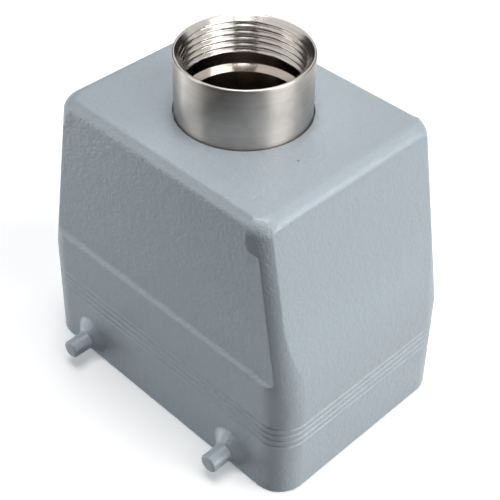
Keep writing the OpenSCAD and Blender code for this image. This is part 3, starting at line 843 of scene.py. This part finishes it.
studio = {
    "floorTone": 0.28, "floorGlow": 0.22, "worldTone": 0.035, "aim": (0, 0, 0.04), "away": 2.0,
    # azimuth is turned from +X towards +Y, share is the light that a lamp puts on a white card
    # facing it, and seenBy keeps a lamp to matt or to glossy surfaces
    "lamps": {
        "keySoftbox": {"azimuth": 32, "height": 11, "size": (1.0, 1.0), "share": 0.755,
                       "seenBy": "diffuse"},
        "keyBand": {"azimuth": 13, "height": 11, "size": (1.36, 1.0), "share": 0.60,
                    "seenBy": "glossy"},
        "topSoftbox": {"azimuth": 0, "height": 88, "size": (1.0, 1.0), "share": 0.58},
        "highSoftbox": {"azimuth": 8, "height": 50, "size": (1.0, 1.0), "share": 0.20},
        "fillSoftbox": {"azimuth": -150, "height": 10, "size": (1.0, 1.0), "share": 0.235,
                        "color": (0.94, 1.0, 1.05), "seenBy": "diffuse"},
        "fillBand": {"azimuth": -123, "height": 10, "size": (0.8, 1.0), "share": 0.15,
                     "seenBy": "glossy"},
        "backSoftbox": {"azimuth": 134, "height": 62, "size": (1.0, 1.0), "share": 0.12},
        "tableGlow": {"azimuth": -150, "height": -18, "size": (0.7, 0.7), "share": 0.30,
                      "color": (0.95, 1.0, 1.03)},
    },
    # dark cards that only glossy surfaces see, as flags stand round a shiny part
    "cards": {
        "floorFlag": {"place": (0.14, -0.33, 0.0006), "turn": (0, 0, 23),
                      "size": (0.62, 0.54), "tone": 0.02},
        "frontFlag": {"place": (0.24, -0.57, 0.18), "turn": (90, 0, 23),
                      "size": (1.10, 0.42), "tone": 0.02},
        "upperFlag": {"place": (0.26, -0.265, 0.60), "turn": (32, 0, 44.5),
                      "size": (0.34, 0.40), "tone": 0.02},
        "rightFlag": {"place": (0.07, 0.66, 0.25), "turn": (90, 0, 0),
                      "size": (0.80, 0.50), "tone": 0.04},
        "leftFlag": {"place": (-0.66, 0.02, 0.25), "turn": (90, 0, 90),
                     "size": (0.80, 0.50), "tone": 0.04},
    },
}


def grey(tone):
    return (tone, tone, tone, 1)


def seenPlainly(tree, path):
    # one for the camera and for what is seen in metal or glass
    seen = mathNode(tree, "MAXIMUM", path.outputs["Is Camera Ray"], path.outputs["Is Glossy Ray"])
    return mathNode(tree, "MAXIMUM", seen, path.outputs["Is Transmission Ray"])


def stageMaterial(name, tone, seenTone, glow=0.0):
    # the camera and mirrors see seenTone, the light that falls on the object comes from tone
    material = bpy.data.materials.new(name)
    material.use_nodes = True
    tree = material.node_tree
    shader = tree.nodes["Principled BSDF"]
    path = tree.nodes.new("ShaderNodeLightPath")
    base = mixColor(tree, seenPlainly(tree, path), grey(tone), grey(seenTone))
    tree.links.new(base, shader.inputs["Base Color"])
    shader.inputs["Roughness"].default_value = 0.9
    shader.inputs["Specular IOR Level"].default_value = 0.0
    if glow:
        light = mixColor(tree, path.outputs["Is Camera Ray"], grey(0), grey(glow))
        tree.links.new(light, shader.inputs["Emission Color"])
        shader.inputs["Emission Strength"].default_value = 1.0
    return material


def buildFloor():
    clearSelection()
    bpy.ops.mesh.primitive_plane_add(size=12, location=(0, 0, 0))
    floor = bpy.context.object
    floor.name = "studioFloor"
    floor.visible_shadow = False  # the low glow shines through, as on a light table
    floor.data.materials.append(
        stageMaterial("studioFloor", studio["floorTone"], 1, studio["floorGlow"]))


def buildWorld():
    world = bpy.data.worlds.new("studioWorld")
    bpy.context.scene.world = world
    world.use_nodes = True
    tree = world.node_tree
    back = tree.nodes["Background"]
    path = tree.nodes.new("ShaderNodeLightPath")
    color = mixColor(tree, seenPlainly(tree, path), grey(studio["worldTone"]), grey(1))
    tree.links.new(color, back.inputs["Color"])
    back.inputs["Strength"].default_value = 1.0


def standAround(look):
    # a place on a sphere round the object, and the turn that faces its middle
    az, el = math.radians(look["azimuth"]), math.radians(look["height"])
    out = Vector((math.cos(el) * math.cos(az), math.cos(el) * math.sin(az), math.sin(el)))
    return Vector(studio["aim"]) + out * studio["away"], (-out).to_track_quat("-Z", "Y").to_euler()


def buildLamps():
    for name, look in studio["lamps"].items():
        data = bpy.data.lights.new(name, "AREA")
        data.shape = "RECTANGLE"
        data.size, data.size_y = look["size"]
        data.energy = look["share"] * (math.pi * studio["away"]) ** 2
        data.color = look.get("color", (1.0, 1.0, 1.0))
        lamp = bpy.data.objects.new(name, data)
        lamp.visible_glossy = look.get("seenBy") != "diffuse"
        lamp.visible_diffuse = look.get("seenBy") != "glossy"
        bpy.context.scene.collection.objects.link(lamp)
        lamp.location, lamp.rotation_euler = standAround(look)


def buildCards():
    for name, look in studio["cards"].items():
        clearSelection()
        bpy.ops.mesh.primitive_plane_add(size=1, location=look["place"],
                                         rotation=[math.radians(v) for v in look["turn"]])
        card = bpy.context.object
        card.name = name
        card.scale = (*look["size"], 1)
        card.visible_camera = card.visible_diffuse = card.visible_shadow = False
        card.data.materials.append(stageMaterial(name, look["tone"], look["tone"]))


# eye and turn worked out from the hood's own edges in the picture, in degrees, mm and pixels
photoView = {"azimuth": 44.4702, "height": 41.5207, "roll": 1.0468, "aim": (0, 0, 40.95),
             "right": -1.5961, "up": 5.5053, "away": 282.0539,
             "focal": 1188.3168, "shift": 1.0797, "picture": 500, "sensor": 36.0}


def buildCamera():
    view = photoView
    az, el, roll = (math.radians(view[k]) for k in ("azimuth", "height", "roll"))
    back = Vector((math.sin(az) * math.cos(el), -math.cos(az) * math.cos(el), math.sin(el)))
    side = Vector((math.cos(az), math.sin(az), 0))
    over = back.cross(side)
    right = side * math.cos(roll) + over * math.sin(roll)
    up = over * math.cos(roll) - side * math.sin(roll)
    eye = Vector(view["aim"]) - right * view["right"] - up * view["up"] + back * view["away"]
    data = bpy.data.cameras.new("photoCamera")
    data.sensor_width = view["sensor"]
    data.lens = view["focal"] / view["picture"] * view["sensor"]
    data.shift_x = view["shift"] / view["picture"]
    data.clip_start = 0.01
    data.clip_end = 50
    camera = bpy.data.objects.new("photoCamera", data)
    bpy.context.scene.collection.objects.link(camera)
    turn = Matrix((right, up, back)).transposed().to_4x4()
    camera.matrix_world = Matrix.Translation(eye * mm) @ turn
    bpy.context.scene.camera = camera


buildFloor()
buildWorld()
buildLamps()
buildCards()
buildCamera()
bpy.context.scene.view_settings.view_transform = "Standard"
print("studio set")
